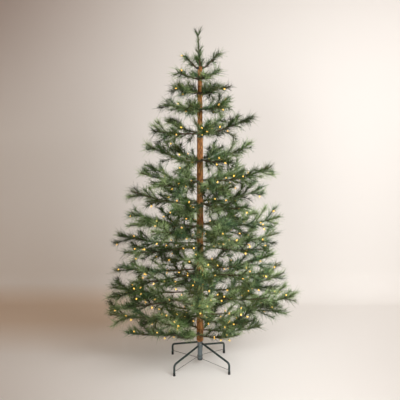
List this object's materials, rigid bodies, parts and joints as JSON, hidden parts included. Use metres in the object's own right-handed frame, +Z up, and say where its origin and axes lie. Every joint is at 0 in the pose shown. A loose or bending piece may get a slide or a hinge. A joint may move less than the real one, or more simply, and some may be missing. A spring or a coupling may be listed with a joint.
{
  "type": "artificial pine christmas tree with folding stand",
  "caption": "Artificial pine christmas tree in an open, layered shape, with a bark-covered pole, wrapped lights and a folding metal stand on rubber feet.",
  "frame": {"origin": "on the floor under the trunk's axis, at the middle of the whole object's footprint", "axes": "+Z up along the trunk; -Y is the tree's front, as the picture shows it; +X is its right-hand side"},
  "size_m": [1.3415, 1.3182, 2.284],
  "materials": {
    "bark": "matte",
    "needles": "matte",
    "limb": "matte",
    "stand_paint": "satin",
    "steel": "satin",
    "foot_rubber": "matte"
  },
  "bodies": {
    "root": {"bough_tier_02_right": "limb", "bough_tier_03_left": "limb", "bough_tier_04_left": "limb", "bough_tier_05_left": "limb", "bough_tier_07_left": "limb", "bough_tier_09_left": "limb", "bough_tier_10_front_left": "limb", "bough_tier_11_left": "limb", "foliage_leader": "needles", "foliage_tier_01_back": "needles", "foliage_tier_01_front": "needles", "foliage_tier_02_back": "needles", "foliage_tier_02_front_left": "needles", "foliage_tier_02_right": "needles", "foliage_tier_03_back_right": "needles", "foliage_tier_03_front": "needles", "foliage_tier_03_left": "needles", "foliage_tier_04_back_right": "needles", "foliage_tier_04_front": "needles", "foliage_tier_04_left": "needles", "foliage_tier_05_back_right": "needles", "foliage_tier_05_front": "needles", "foliage_tier_05_left": "needles", "foliage_tier_06_back_right": "needles", "foliage_tier_06_front_left": "needles", "foliage_tier_07_back": "needles", "foliage_tier_07_front_right": "needles", "foliage_tier_07_left": "needles", "foliage_tier_08_back_right": "needles", "foliage_tier_08_front_left": "needles", "foliage_tier_09_back": "needles", "foliage_tier_09_front_right": "needles", "foliage_tier_09_left": "needles", "foliage_tier_10_back": "needles", "foliage_tier_10_front_left": "needles", "foliage_tier_10_front_right": "needles", "foliage_tier_11_back_right": "needles", "foliage_tier_11_front": "needles", "foliage_tier_11_left": "needles", "foliage_tier_12_back": "needles", "foliage_tier_12_front": "needles", "foliage_tier_13_back_right": "needles", "foliage_tier_13_front_left": "needles", "foliage_tier_14_back_right": "needles", "foliage_tier_14_front_left": "needles", "stand_bolt": "steel", "stand_brace_lower": "steel", "stand_brace_upper": "steel", "stand_foot_back_left": "foot_rubber", "stand_foot_back_right": "foot_rubber", "stand_foot_front_left": "foot_rubber", "stand_foot_front_right": "foot_rubber", "stand_leg_back_left": "stand_paint", "stand_leg_back_right": "stand_paint", "stand_leg_front_left": "stand_paint", "stand_leg_front_right": "stand_paint", "stand_pole": "stand_paint", "stand_sleeve_lower": "stand_paint", "stand_sleeve_upper": "stand_paint", "trunk": "bark"}
  },
  "joints": []
}
